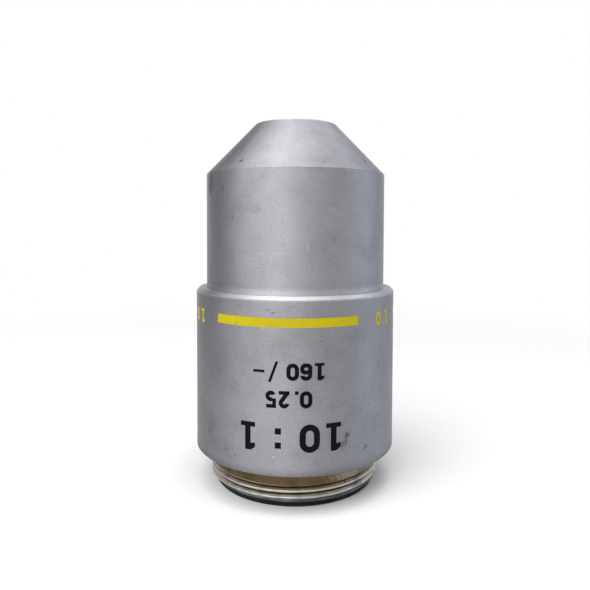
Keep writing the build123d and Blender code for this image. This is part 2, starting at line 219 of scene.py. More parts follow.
cone_start = tip_height - cone_height
cone_slope = (nose_radius - tip_radius) / cone_height
wall_across = nose_wall * sqrt(1 + cone_slope**2)
nose_build = spin_section(
    [
        (nose_radius - nose_wall, nose_rear),
        (nose_radius, nose_rear),
        (nose_radius, cone_start),
        (tip_radius, tip_height),
        (tip_opening + tip_countersink, tip_height),
        (tip_opening, tip_height - tip_countersink),
        (tip_opening, cone_start + (nose_radius - wall_across - tip_opening) / cone_slope),
        (nose_radius - nose_wall, cone_start + (nose_wall - wall_across) / cone_slope),
    ]
)
round_ring(nose_build, nose_radius, cone_start, crisp_edge)
round_ring(nose_build, tip_radius, tip_height, soft_edge)
nose = new_piece("nose_turned", nose_build)
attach(nose, "root")
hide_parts("nose_shell")

# %% [markdown]
# The brass body shows below the sleeve: a plain land, then the mounting thread of 36 turns to the
# inch. It is spun as a smooth body first. The part of its wall that carries the thread gets many
# fine rows, twenty to each turn, so that there are enough points to cut the groove with.

# %% Turn the brass body
pitch = 25.4 / 36 * mm
thread_radius = frame["record"]["mounts"][0]["dims"]["r_mm"] * mm
land_height = 1.65 * mm
lead_chamfer = 0.45 * mm
rows_in_a_turn = 20
body_bore = 7.0 * mm
front_bore = 8.6 * mm
neck_radius = 9.565 * mm
shelf_height = shoulder_height + 5.0 * mm

fine_top = shoulder_height - land_height + 0.6 * pitch
row_step = pitch / rows_in_a_turn
row_count = floor((fine_top - body_rear) / row_step)
thread_rows = [(thread_radius, body_rear + row_step * row) for row in range(1, row_count + 1)]
body_build = spin_section(
    [
        (body_bore, body_rear),
        (thread_radius - lead_chamfer, body_rear),
        *thread_rows,
        (thread_radius, shoulder_height),
        (body_radius, shoulder_height),
        (body_radius, nose_rear),
        (neck_radius, nose_rear),
        (neck_radius, body_front),
        (front_bore, body_front),
        (front_bore, shelf_height),
        (body_bore, shelf_height),
    ]
)
print(f"thread wall: {row_count} rows, {row_step / mm:.3f} mm apart")

# %% [markdown]
# The thread is one groove that climbs round the body. A screw modifier would leave a seam where it
# runs out, so each point of the wall is moved in instead, by the depth of the groove where it
# stands: a cosine with broad, flat crests. The groove fades out over its last part, as the tool is
# drawn back, and a chamfer at the rear leads the thread into its hole.

# %% Cut the thread
thread_depth = 0.64 * pitch
crest_flatness = 1.7
run_out = radians(40)


def groove_at(height, turned):
    turns = (shoulder_height - land_height - height) / pitch + turned / (2 * pi)
    if turns <= 0:
        return 0.0
    groove = thread_depth * ((1 - cos(2 * pi * turns)) / 2) ** crest_flatness
    if turns < 1:
        groove *= min(1, (pi - turned) / run_out)
    return groove


for vertex in body_build.verts:
    radius = hypot(vertex.co.x, vertex.co.y)
    if abs(radius - thread_radius) < same_place and vertex.co.z < fine_top:
        turned = atan2(vertex.co.x, -vertex.co.y)
        chamfered = thread_radius - lead_chamfer + vertex.co.z - body_rear
        cut_radius = min(thread_radius - groove_at(vertex.co.z, turned), chamfered)
        vertex.co.x *= cut_radius / radius
        vertex.co.y *= cut_radius / radius

body = new_piece("body_threaded", body_build)
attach(body, "root")
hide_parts("thread_body")
print(f"thread: pitch {pitch / mm:.3f} mm, {thread_depth / mm:.2f} mm deep")

# %% [markdown]
# A finish is built from shader nodes. The nodes could be joined by hand in the editor; these small
# helpers do the same and save typing. One adds a node and fills its sockets, the others do sums,
# fade a value between two limits, and lay one colour over another.

# %% Helpers for shader nodes


def feed(tree, socket, value):
    if isinstance(value, bpy.types.NodeSocket):
        tree.links.new(value, socket)
    else:
        socket.default_value = value


def add(tree, kind, inputs=None, **settings):
    node = tree.nodes.new("ShaderNode" + kind)
    for name, value in settings.items():
        setattr(node, name, value)
    for name, value in (inputs or {}).items():
        feed(tree, node.inputs[name], value)
    return node


def calc(tree, operation, first, second=0.0):
    return add(tree, "Math", {0: first, 1: second}, operation=operation).outputs[0]


def scaled(tree, vector, amount):
    return add(tree, "VectorMath", {0: vector, "Scale": amount}, operation="SCALE").outputs[0]


def ramp(tree, value, low, high, start=0.0, end=1.0):
    inputs = {"Value": value, "From Min": low, "From Max": high, "To Min": start, "To Max": end}
    return add(tree, "MapRange", inputs, interpolation_type="SMOOTHSTEP").outputs[0]


def blend(tree, amount, under, over):
    node = add(tree, "Mix", data_type="RGBA")
    sockets = {socket.identifier: socket for socket in node.inputs}
    feed(tree, sockets["Factor_Float"], amount)
    feed(tree, sockets["A_Color"], under)
    feed(tree, sockets["B_Color"], over)
    return next(socket for socket in node.outputs if socket.identifier == "Result_Color")


def cover(tree, under, over, mask, strength):
    return blend(tree, calc(tree, "MULTIPLY", mask, strength), under, over)


def noise(tree, vector, scale, detail, **inputs):
    sockets = {"Vector": vector, "Scale": scale, "Detail": detail, **inputs}
    return add(tree, "TexNoise", sockets).outputs[0]


print("shader helpers ready")

# %% [markdown]
# A node group is worth making for an effect that several finishes share, because each finish can
# then place it with its own values. It is started with named inputs and outputs here, and placed
# in a tree like any other node.

# %% Helpers for node groups


def new_group(name, inputs, outputs):
    group = bpy.data.node_groups.new(name, "ShaderNodeTree")
    interface = group.interface
    for label, value in inputs.items():
        kind = "NodeSocketFloat" if isinstance(value, float) else "NodeSocketVector"
        interface.new_socket(label, in_out="INPUT", socket_type=kind).default_value = value
    for label, kind in outputs.items():
        interface.new_socket(label, in_out="OUTPUT", socket_type="NodeSocket" + kind)
    given = group.nodes.new("NodeGroupInput").outputs
    wanted = group.nodes.new("NodeGroupOutput").inputs
    return group, given, wanted


def place(tree, group, inputs):
    node = add(tree, "Group")
    node.node_tree = group
    for name, value in inputs.items():
        feed(tree, node.inputs[name], value)
    return node.outputs


print("group helpers ready")

# %% [markdown]
# Everything on the barrel is turned, so marks on it are easiest to place by angle and height. This
# group turns an Object position into millimetres, into that angle and height, and into one number
# that changes across every turned surface: height less radius. It rises along a wall, a cone and a
# flat face alike, so lines drawn from it always run round the axis, as a lathe tool leaves them.

# %% Group: where a point is on the barrel
no_place = (0.0, 0.0, 0.0)
mm_in_a_metre = 1000.0

barrel_places, given, wanted = new_group(
    "barrel_places",
    {"Object": no_place},
    {
        "Millimetres": "Vector",
        "Unrolled": "Vector",
        "Across": "Float",
        "Height": "Float",
        "Radius": "Float",
    },
)
tree = barrel_places
to_mm = scaled(tree, given["Object"], mm_in_a_metre)
right, back, up = add(tree, "SeparateXYZ", {0: to_mm}).outputs
right_squared = calc(tree, "MULTIPLY", right, right)
back_squared = calc(tree, "MULTIPLY", back, back)
radius = calc(tree, "SQRT", calc(tree, "ADD", right_squared, back_squared))
front = calc(tree, "MULTIPLY", back, -1.0)
azimuth = calc(tree, "DEGREES", calc(tree, "ARCTAN2", right, front))
unrolled = add(tree, "CombineXYZ", {0: azimuth, 1: up}).outputs[0]
tree.links.new(to_mm, wanted["Millimetres"])
tree.links.new(unrolled, wanted["Unrolled"])
tree.links.new(calc(tree, "SUBTRACT", up, radius), wanted["Across"])
tree.links.new(up, wanted["Height"])
tree.links.new(radius, wanted["Radius"])
print("group:", tree.name)

# %% [markdown]
# A blasted or satin surface is not even: it has a fine grain, which shows as specks a little
# lighter and darker and as tiny dents. One noise gives both, so a speck and its dent agree.

# %% Group: fine grain
fine_grain, given, wanted = new_group(
    "fine_grain",
    {"Millimetres": no_place, "Size": 0.3, "Contrast": 0.1},
    {"Tone": "Float", "Height": "Float"},
)
tree = fine_grain
grain_scale = calc(tree, "DIVIDE", 1.0, given["Size"])
fine = noise(tree, given["Millimetres"], grain_scale, 2.0, Roughness=0.6)
even = calc(tree, "SUBTRACT", fine, 0.5)
swing = calc(tree, "MULTIPLY", even, given["Contrast"])
tree.links.new(calc(tree, "ADD", 1.0, swing), wanted["Tone"])
tree.links.new(fine, wanted["Height"])
print("group:", tree.name)

# %% [markdown]
# A lathe leaves fine rings. Their spacing is never quite regular, so a one-dimensional noise looks
# more like them than an even wave does.

# %% Group: turning lines
turning_lines, given, wanted = new_group(
    "turning_lines", {"Across": 0.0, "Spacing": 0.2}, {"Lines": "Float"}
)
tree = turning_lines
along = calc(tree, "DIVIDE", given["Across"], given["Spacing"])
ring_sockets = {"W": along, "Scale": 1.0, "Detail": 3.0, "Roughness": 0.7}
rings = add(tree, "TexNoise", ring_sockets, noise_dimensions="1D")
tree.links.new(rings.outputs[0], wanted["Lines"])
print("group:", tree.name)

# %% [markdown]
# Years of handling leave three things: broad faint smudges, small specks, and hairline scratches.
# The smudges are a slow noise. The specks are cells of a Voronoi texture, of which only a few are
# kept. The scratches are the thin line where a stretched noise passes through its middle value,
# broken up by a second noise so that no scratch runs on for long.

# %% Group: signs of handling
smudge_from, smudge_full = 0.47, 0.72
first_speck_cell = 0.84
largest_speck = 0.16
scratch_turn = (0.5, 0.3, 0.2)
scratch_stretch = (0.55, 0.55, 0.12)
scratch_break_scale = 0.35
break_from, break_full = 0.5, 0.62

handling, given, wanted = new_group(
    "handling",
    {"Millimetres": no_place, "Smudge Size": 5.0, "Speck Size": 0.9, "Scratch Width": 0.004},
    {"Smudges": "Float", "Specks": "Float", "Scratches": "Float"},
)
tree = handling
smudge_scale = calc(tree, "DIVIDE", 1.0, given["Smudge Size"])
slow = noise(tree, given["Millimetres"], smudge_scale, 4.0, Roughness=0.55)
tree.links.new(ramp(tree, slow, smudge_from, smudge_full), wanted["Smudges"])

speck_scale = calc(tree, "DIVIDE", 1.0, given["Speck Size"])
cells = add(tree, "TexVoronoi", {"Vector": given["Millimetres"], "Scale": speck_scale}).outputs
cell_share = add(tree, "SeparateXYZ", {0: cells["Color"]}).outputs[0]
speck_reach = ramp(tree, cell_share, first_speck_cell, 1.0, 0.0, largest_speck)
tree.links.new(calc(tree, "LESS_THAN", cells["Distance"], speck_reach), wanted["Specks"])

stretch_sockets = {
    "Vector": given["Millimetres"],
    "Rotation": scratch_turn,
    "Scale": scratch_stretch,
}
stretched = add(tree, "Mapping", stretch_sockets).outputs[0]
swirl = noise(tree, stretched, 1.0, 0.0)
off_middle = calc(tree, "ABSOLUTE", calc(tree, "SUBTRACT", swirl, 0.5))
hairline = ramp(tree, off_middle, 0.0, given["Scratch Width"], 1.0, 0.0)
breaks = noise(tree, given["Millimetres"], scratch_break_scale, 1.0)
kept_parts = ramp(tree, breaks, break_from, break_full)
tree.links.new(calc(tree, "MULTIPLY", hairline, kept_parts), wanted["Scratches"])
print("group:", tree.name)

# %% [markdown]
# Some marks have a known place: a thumb smudge beside the big numbers, a dark nick on the cone.
# A painted picture could hold them, but a group that draws one mark with a ragged border, from its
# angle, height, size and slant, keeps them sharp at any size and easy to move.

# %% Group: one mark at a known place
mm_in_a_degree = 0.2
mark_core = 0.35
border_scale = 2.2
border_swing = 3.0

placed_mark, given, wanted = new_group(
    "placed_mark",
    {
        "Unrolled": no_place,
        "Place": no_place,
        "Size": (5.0, 1.0, 1.0),
        "Slant": 0.0,
        "Ragged": 0.6,
    },
    {"Mask": "Float"},
)
tree = placed_mark
from_place = {0: given["Unrolled"], 1: given["Place"]}
offset = add(tree, "VectorMath", from_place, operation="SUBTRACT").outputs[0]
to_length = {0: offset, 1: (mm_in_a_degree, 1.0, 1.0)}
in_mm = add(tree, "VectorMath", to_length, operation="MULTIPLY").outputs[0]
by_slant = {"Vector": in_mm, "Angle": given["Slant"]}
turned_round = add(tree, "VectorRotate", by_slant, rotation_type="Z_AXIS").outputs[0]
by_size = {0: turned_round, 1: given["Size"]}
in_sizes = add(tree, "VectorMath", by_size, operation="DIVIDE").outputs[0]
reach = add(tree, "VectorMath", {0: in_sizes}, operation="LENGTH").outputs["Value"]
torn = calc(tree, "SUBTRACT", noise(tree, in_mm, border_scale, 3.0), 0.5)
raggedness = calc(tree, "MULTIPLY", given["Ragged"], border_swing)
uneven = calc(tree, "MULTIPLY", torn, raggedness)
ragged_reach = calc(tree, "ADD", reach, uneven)
tree.links.new(ramp(tree, ragged_reach, mark_core, 1.0, 1.0, 0.0), wanted["Mask"])
print("group:", tree.name)

# %% [markdown]
# Edges that fingers and boxes touch are rubbed brighter, and a corner can be darkened with soot and
# painted shade. Both follow a ring at one height, so one group serves for either: it is strongest
# at the ring and broken up by a noise.

# %% Group: a worn ring, or a ring of soot and painted shade
ring_core = 0.3
gap_middle = 0.45
gap_swing = 4.0

wear_and_shade_ring, given, wanted = new_group(
    "wear_and_shade_ring",
    {
        "Millimetres": no_place,
        "Height": 0.0,
        "Ring": 0.0,
        "Reach": 0.15,
        "Patchy": 0.5,
        "Grain": 0.6,
    },
    {"Mask": "Float"},
)
tree = wear_and_shade_ring
from_ring = calc(tree, "ABSOLUTE", calc(tree, "SUBTRACT", given["Height"], given["Ring"]))
away = calc(tree, "DIVIDE", from_ring, given["Reach"])
gap_scale = calc(tree, "DIVIDE", 1.0, given["Grain"])
gaps = noise(tree, given["Millimetres"], gap_scale, 3.0, Roughness=0.65)
patchiness = calc(tree, "MULTIPLY", given["Patchy"], gap_swing)
missing = calc(tree, "MULTIPLY", calc(tree, "SUBTRACT", gaps, gap_middle), patchiness)
broken_up = calc(tree, "ADD", away, missing)
tree.links.new(ramp(tree, broken_up, ring_core, 1.0, 1.0, 0.0), wanted["Mask"])
print("group:", tree.name)

# %% [markdown]
# Each finish starts the same way: a material with its Principled shader, and the barrel places of
# whatever piece wears it. The short functions below place each group at those places, so a recipe
# reads as a list of what is on the surface.

# %% Starting a finish


def new_finish(name):
    material = bpy.data.materials.new(name)
    material.use_nodes = True
    tree = material.node_tree
    position = add(tree, "TexCoord").outputs["Object"]
    here = place(tree, barrel_places, {"Object": position})
    return material, tree, tree.nodes["Principled BSDF"], here


def grain_at(tree, here, size, contrast):
    inputs = {"Millimetres": here["Millimetres"], "Size": size, "Contrast": contrast}
    return place(tree, fine_grain, inputs)


def lines_at(tree, here, spacing):
    return place(tree, turning_lines, {"Across": here["Across"], "Spacing": spacing})["Lines"]


def handling_at(tree, here, smudge_size, speck_size, scratch_width=0.004):
    inputs = {
        "Millimetres": here["Millimetres"],
        "Smudge Size": smudge_size,
        "Speck Size": speck_size,
        "Scratch Width": scratch_width,
    }
    return place(tree, handling, inputs)


def mark_at(tree, here, at, size, slant, ragged):
    inputs = {
        "Unrolled": here["Unrolled"],
        "Place": (*at, 0),
        "Size": (*size, 1),
        "Slant": radians(slant),
        "Ragged": ragged,
    }
    return place(tree, placed_mark, inputs)["Mask"]


def ring_at(tree, here, ring, reach, patchy, grain=0.6):
    inputs = {
        "Millimetres": here["Millimetres"],
        "Height": here["Height"],
        "Ring": ring,
        "Reach": reach,
        "Patchy": patchy,
        "Grain": grain,
    }
    return place(tree, wear_and_shade_ring, inputs)["Mask"]


print("groups ready to place")

# %% [markdown]
# Three small jobs come at the end of most finishes: masks are joined by keeping the strongest one
# at each point, the grain is turned into tiny dents, and the finish is put on a piece of the model.

# %% Ending a finish


def strongest(tree, masks):
    result = masks[0]
    for mask in masks[1:]:
        result = calc(tree, "MAXIMUM", result, mask)
    return result


def dents(tree, shader, height, depth):
    bump = add(tree, "Bump", {"Height": height, "Distance": depth, "Strength": 1.0})
    tree.links.new(bump.outputs[0], shader.inputs["Normal"])


def dress(node, material):
    materials = frame["nodes"][node].data.materials
    materials.clear()
    materials.append(material)


print("finish helpers ready")

# %% [markdown]
# The satin plating on the nose and the sleeve is a matt chrome over brass. Its colour is a grey
# with a trace of blue. That grey is made uneven in four ways: by its grain, by a slow mottle, by
# turning lines that are clearest just under an edge, and by a band at one end that is painted light
# on the nose and painted shade on the sleeve. Each piece also has its own overall level, set as
# painted light and shade.

# %% Satin plating: its tone
plate_grey = (0.281, 0.281, 0.302, 1)
faint_lines = 0.12
line_contrast = 0.3


def line_depth_at(tree, here, line_band):
    low, high = line_band
    fade_in = ramp(tree, here["Height"], low, high)
    fade_out = ramp(tree, here["Height"], high + 0.2, high + 0.5, 1.0, 0.0)
    in_band = calc(tree, "MULTIPLY", fade_in, fade_out)
    return calc(tree, "ADD", faint_lines, calc(tree, "MULTIPLY", in_band, 1.0 - faint_lines))


def plate_tone(tree, here, grain, lines, line_depth, shade, painted_shading_band):
    mottle = grain_at(tree, here, size=3.5, contrast=0.3)
    tone = calc(tree, "MULTIPLY", grain["Tone"], mottle["Tone"])
    line_swing = calc(tree, "MULTIPLY", line_depth, line_contrast)
    line_tone = calc(tree, "MULTIPLY", calc(tree, "SUBTRACT", lines, 0.5), line_swing)
    tone = calc(tree, "MULTIPLY", tone, calc(tree, "ADD", 1.0, line_tone))
    # The band by height and the piece's overall level are painted light and painted shade.
    near, away, gain = painted_shading_band
    painted_shading_by_height = ramp(tree, here["Height"], near, away, shade * (1 + gain), shade)
    return calc(tree, "MULTIPLY", tone, painted_shading_by_height)


print("plating grey:", plate_grey[:3])

# %% [markdown]
# Wear comes on top of that grey, from the lightest to the darkest: rubbed edges, scratches and
# specks show brighter metal, smudges and placed marks are a thin grime, though some placed marks
# are painted shade, and a ring of soot and painted shade darkens a corner.

# %% Satin plating: its wear and painted shade
rubbed_grey = (0.46, 0.46, 0.48, 1)
grime_and_shade_grey = (0.075, 0.074, 0.085, 1)
soot_and_shade_black = (0.012, 0.011, 0.011, 1)
scratch_strength = 0.35
speck_strength = 0.4
smudge_strength = 0.1
soot_and_shade_strength = 0.45
soot_and_shade_grain = 0.3


def plate_wear_and_painted_shade(tree, here, metal, touched, rubbed, rub_strength, marks, dirt_and_shade_edges):
    colour = cover(tree, metal, rubbed_grey, rubbed, rub_strength)
    colour = cover(tree, colour, rubbed_grey, touched["Scratches"], scratch_strength)
    colour = cover(tree, colour, rubbed_grey, touched["Specks"], speck_strength)
    colour = cover(tree, colour, grime_and_shade_grey, touched["Smudges"], smudge_strength)
    for at, size, slant, ragged, strength in marks:
        mask = mark_at(tree, here, at, size, slant, ragged)
        colour = cover(tree, colour, grime_and_shade_grey, mask, strength)
    # A ring of soot with painted shade, for a corner.
    for ring, reach, patchy in dirt_and_shade_edges:
        soot_and_shade_ring = ring_at(tree, here, ring, reach, patchy, soot_and_shade_grain)
        colour = cover(tree, colour, soot_and_shade_black, soot_and_shade_ring, soot_and_shade_strength)
    return colour


# The grime and soot colours also carry painted shade.
print("wear colours:", rubbed_grey[:3], grime_and_shade_grey[:3], soot_and_shade_black[:3])

# %% [markdown]
# A rough metal shader spreads every light into the soft upright bands that such barrels show. The
# turning lines stretch the highlights, so the shader is anisotropic, with its tangent round the
# axis. The two plated pieces share this one recipe and differ only in the values they give it.

# %% Satin plating: the whole finish
plate_roughness = 0.58
smudge_roughness = 0.06
rubbed_smoothness = 0.1
plate_edge_tint = (0.85, 0.85, 0.85, 1)


def satin_plate(name, shade, painted_shading_band, line_band, rubbed_edges, rub_strength, dirt_and_shade_edges, marks):
    material, tree, shader, here = new_finish(name)
    grain = grain_at(tree, here, size=0.22, contrast=0.42)
    touched = handling_at(tree, here, smudge_size=4.5, speck_size=1.1, scratch_width=0.0025)
    lines = lines_at(tree, here, spacing=0.16)
    line_depth = line_depth_at(tree, here, line_band)
    rings = [ring_at(tree, here, ring, reach, patchy=0.25) for ring, reach in rubbed_edges]
    rubbed = strongest(tree, rings)
    tone = plate_tone(tree, here, grain, lines, line_depth, shade, painted_shading_band)
    metal = scaled(tree, plate_grey[:3], tone)
    colour = plate_wear_and_painted_shade(tree, here, metal, touched, rubbed, rub_strength, marks, dirt_and_shade_edges)
    tree.links.new(colour, shader.inputs["Base Color"])

    smudged = calc(tree, "MULTIPLY", touched["Smudges"], smudge_roughness)
    roughness = calc(tree, "ADD", plate_roughness, smudged)
    smoothed = calc(tree, "MULTIPLY", rubbed, rubbed_smoothness)
    roughness = calc(tree, "SUBTRACT", roughness, smoothed)
    tree.links.new(roughness, shader.inputs["Roughness"])
    relief = calc(tree, "ADD", grain["Height"], calc(tree, "MULTIPLY", lines, line_depth))
    dents(tree, shader, relief, 0.006 * mm)

    shader.inputs["Metallic"].default_value = 1.0
    shader.inputs["Specular Tint"].default_value = plate_edge_tint
    shader.inputs["Anisotropic"].default_value = 0.7
    shader.inputs["Anisotropic Rotation"].default_value = 0.25
    round_the_axis = add(tree, "Tangent", direction_type="RADIAL", axis="Z")
    tree.links.new(round_the_axis.outputs[0], shader.inputs["Tangent"])
    return material


print("plating roughness:", plate_roughness)

# %% [markdown]
# The nose has a fine dark line down its cone with a duller strip beside it, both painted shade
# where the cone's reflection darkens, a few nicks near the cone's foot and thumb smudges on its
# skirt. Just above the sleeve the skirt is paler: painted light, for the ledge that throws light up
# at it. Each mark is given as (angle in degrees, height in mm), size in mm, slant, how ragged it
# is, and its strength.

# %% Dress the nose
nose_marks_and_painted_shade = [
    # The first two marks are painted shade: the dark line down the cone and the duller strip beside
    # it.
    ((-45.3, 40.0), (0.1, 3.6), 0, 0.12, 0.95),
    ((-54.0, 40.2), (1.9, 3.2), 0, 0.3, 0.22),
    ((-36.9, 37.57), (0.32, 0.25), 0, 0.7, 0.9),
    ((54.0, 37.84), (0.2, 0.45), 25, 0.5, 0.95),
    ((17.0, 37.3), (0.45, 0.07), -25, 0.5, 0.5),
    ((-20.6, 38.5), (0.2, 0.12), 0, 0.7, 0.4),
    ((-65.0, 35.4), (1.3, 1.7), 0, 0.5, 0.6),
    ((-48.2, 34.6), (0.4, 0.6), 0, 0.9, 0.35),
    ((-21.7, 32.2), (0.7, 0.6), 20, 0.9, 0.17),
    ((-39.5, 31.4), (0.3, 0.4), 0, 0.9, 0.3),
    ((60.1, 36.12), (0.1, 0.08), 0, 0.5, 0.8),
    ((19.2, 26.97), (0.09, 0.07), 0, 0.5, 0.8),
]
nose_plate = satin_plate(
    "satin_plate_nose",
    shade=1.03,
    painted_shading_band=(sleeve_top / mm, sleeve_top / mm + 0.9, 0.55),
    line_band=(31.0, cone_start / mm - 0.3),
    rubbed_edges=[(tip_height / mm, 0.2)],
    rub_strength=0.5,
    dirt_and_shade_edges=[],
    marks=nose_marks_and_painted_shade,
)
nose.data.materials.append(nose_plate)
print("marks on the nose:", len(nose_marks_and_painted_shade))

# %% [markdown]
# The sleeve is the model's own piece, because the recesses for its paint are cut into it. Its upper
# edge is rubbed bright where fingers turn it. Grime lies beside the large numbers and along the
# foot. The foot also gets a ring that is partly soot and partly painted shade, and above it a band
# of painted shade. The whole sleeve is set a little darker than the nose as painted shade.

# %% Dress the sleeve
sleeve_marks = [
    ((-13.8, 21.76), (0.24, 0.14), 0, 0.9, 0.4),
    ((-11.4, 21.48), (0.3, 0.2), -15, 0.9, 0.5),
    ((13.2, 19.1), (0.2, 0.1), 0, 0.9, 0.4),
    ((11.3, 8.0), (0.32, 1.0), -8, 0.9, 0.75),
    ((27.5, 8.24), (0.35, 0.6), 12, 0.9, 0.8),
    ((25.9, 7.4), (0.5, 0.5), 0, 0.9, 0.45),
    ((39.8, 6.49), (0.5, 0.4), 0, 0.9, 0.45),
    ((-37.9, 6.34), (0.4, 0.3), 0, 0.9, 0.35),
    ((-32.3, 5.89), (0.12, 0.1), 0, 0.5, 0.9),
    ((-52.6, 7.68), (0.5, 0.4), 0, 0.9, 0.3),
    ((50.8, 14.82), (0.12, 0.12), 0, 0.5, 0.5),
]
sleeve_plate = satin_plate(
    "satin_plate_sleeve",
    shade=0.93,
    painted_shading_band=(shoulder_height / mm, shoulder_height / mm + 1.0, -0.3),
    line_band=(21.0, 22.2),
    rubbed_edges=[(sleeve_top / mm - 0.15, 0.5)],
    rub_strength=0.66,
    dirt_and_shade_edges=[(shoulder_height / mm, 0.12, 0.8)],
    marks=sleeve_marks,
)
dress("barrel_sleeve", sleeve_plate)
print("marks on the sleeve:", len(sleeve_marks))

# %% [markdown]
# Below the sleeve the body was never plated, or lost its plating long ago. The plain land is brown,
# tarnished brass, with painted shade over all of it for the overhang of the sleeve, more painted
# shade on the left and a paler area of painted light on the right. The thread is pale on its
# crests, dark in its grooves, and warm on its flanks, a colour that is partly the metal's own and
# partly a painted reflection of the brass land and of light from above. Radius and height tell
# these zones apart.

# %% Bare brass: its colours
# The brown is the tarnish's own colour, darkened with painted shade.
brass_brown_and_shade = (0.106, 0.075, 0.038, 1)
brass_yellow = (0.44, 0.40, 0.16, 1)
# The warm flank colour is partly a painted reflection.
flank_warm_and_reflection = (0.66, 0.565, 0.475, 1)
crest_pale = (0.44, 0.43, 0.41, 1)
land_painted_light_grey = (0.28, 0.25, 0.22, 1)
groove_dark = (0.05, 0.043, 0.036, 1)
chamfer_blue = (0.24, 0.27, 0.29, 1)
land_end = shoulder_height / mm - 1.85
# Painted shade on the left and painted light on the right.
land_painted_light_and_shade = [
    ((-48.0, 3.3), (5.0, 2.0), groove_dark, 0.3),
    ((46.0, 3.3), (5.5, 2.4), land_painted_light_grey, 0.65),
]


def land_colour(tree, here, grain):
    tarnish = grain_at(tree, here, size=2.2, contrast=1.0)
    tone = calc(tree, "MULTIPLY", grain["Tone"], tarnish["Tone"])
    colour = scaled(tree, brass_brown_and_shade[:3], tone)
    for at, size, patch_colour, strength in land_painted_light_and_shade:
        patch = mark_at(tree, here, at, size, slant=0.0, ragged=0.4)
        colour = cover(tree, colour, patch_colour, patch, strength)
    return colour


def thread_colour(tree, here):
    on_flank = ramp(tree, here["Radius"], 9.72, 9.88)
    on_crest = ramp(tree, here["Radius"], 9.95, 10.08)
    flanks = blend(tree, on_flank, groove_dark, flank_warm_and_reflection)
    return blend(tree, on_crest, flanks, crest_pale)


print("land ends at", round(land_end, 2), "mm")

# %% [markdown]
# The zones are joined by height: land, a thin bright lip where the tool left the land, thread, and
# the bluish chamfer at the rear. Grime and specks lie over all of them.

# %% Bare brass: the whole finish
bare_brass, tree, shader, here = new_finish("bare_brass")
grain = grain_at(tree, here, size=0.25, contrast=0.5)
touched = handling_at(tree, here, smudge_size=1.6, speck_size=0.7)
lines = lines_at(tree, here, spacing=0.1)
in_thread = ramp(tree, here["Height"], land_end - 0.14, land_end - 0.04, 1.0, 0.0)
in_chamfer = ramp(tree, here["Height"], 0.95, 1.25, 1.0, 0.0)
lip = ring_at(tree, here, land_end + 0.06, reach=0.12, patchy=0.2)

colour = blend(tree, in_thread, land_colour(tree, here, grain), thread_colour(tree, here))
colour = blend(tree, in_chamfer, colour, chamfer_blue)
colour = cover(tree, colour, brass_yellow, lip, 0.8)
colour = cover(tree, colour, groove_dark, touched["Smudges"], 0.5)
colour = cover(tree, colour, soot_and_shade_black, touched["Specks"], 0.7)
tree.links.new(colour, shader.inputs["Base Color"])

roughness = calc(tree, "ADD", 0.44, calc(tree, "MULTIPLY", touched["Smudges"], 0.12))
tree.links.new(roughness, shader.inputs["Roughness"])
relief = calc(tree, "ADD", grain["Height"], calc(tree, "MULTIPLY", lines, 0.6))
dents(tree, shader, relief, 0.006 * mm)
shader.inputs["Metallic"].default_value = 1.0
body.data.materials.append(bare_brass)
print("finish:", bare_brass.name)

# %% [markdown]
# Stray light spoils an image, so everything inside is black. The ring at the rear is aluminium,
# anodised to a dense, fine black. Such a coat is not a metal to the eye, so it is a dark plain
# surface with very little shine, greyer where dust and fingers have been.

# %% Black anodised aluminium
anodised_black = (0.006, 0.007, 0.009, 1)
dusty_black = (0.05, 0.05, 0.055, 1)
speck_grey = (0.1, 0.1, 0.1, 1)

black_metal, tree, shader, here = new_finish("black_metal")
grain = grain_at(tree, here, size=0.2, contrast=0.8)
touched = handling_at(tree, here, smudge_size=2.0, speck_size=0.8)
colour = scaled(tree, anodised_black[:3], grain["Tone"])
colour = cover(tree, colour, dusty_black, touched["Smudges"], 0.25)
colour = cover(tree, colour, speck_grey, touched["Specks"], 0.3)
tree.links.new(colour, shader.inputs["Base Color"])
roughness = calc(tree, "ADD", 0.38, calc(tree, "MULTIPLY", grain["Height"], 0.15))
tree.links.new(roughness, shader.inputs["Roughness"])
dents(tree, shader, grain["Height"], 0.004 * mm)
shader.inputs["Specular IOR Level"].default_value = 0.12
print("finish:", black_metal.name)

# %% [markdown]
# The cells, rings and tube inside are brass, blackened with a chemical and left matt. The brass
# shows through a little where a spanner or a neighbour has rubbed. Half a metal is close to how
# such a thin, dark skin reflects.

# %% Blackened brass
chemical_black = (0.022, 0.019, 0.016, 1)
brass_showing = (0.2, 0.15, 0.08, 1)
brown_film = (0.06, 0.045, 0.03, 1)

blackened_brass, tree, shader, here = new_finish("blackened_brass")
grain = grain_at(tree, here, size=0.25, contrast=0.8)
touched = handling_at(tree, here, smudge_size=1.8, speck_size=0.6)
lines = lines_at(tree, here, spacing=0.12)
colour = scaled(tree, chemical_black[:3], grain["Tone"])
colour = cover(tree, colour, brass_showing, touched["Scratches"], 0.5)
colour = cover(tree, colour, brown_film, touched["Smudges"], 0.2)
tree.links.new(colour, shader.inputs["Base Color"])
roughness = calc(tree, "ADD", 0.42, calc(tree, "MULTIPLY", lines, 0.2))
tree.links.new(roughness, shader.inputs["Roughness"])
dents(tree, shader, calc(tree, "ADD", grain["Height"], lines), 0.005 * mm)
shader.inputs["Metallic"].default_value = 0.5
shader.inputs["Specular IOR Level"].default_value = 0.3
print("finish:", blackened_brass.name)

# %% [markdown]
# The lenses are polished glass with a thin coating that kills most reflection and leaves a violet
# glint. Each type of glass bends light by its own amount, so crown and flint get their own index.
# A trace of dust on the surface keeps it from looking perfect.

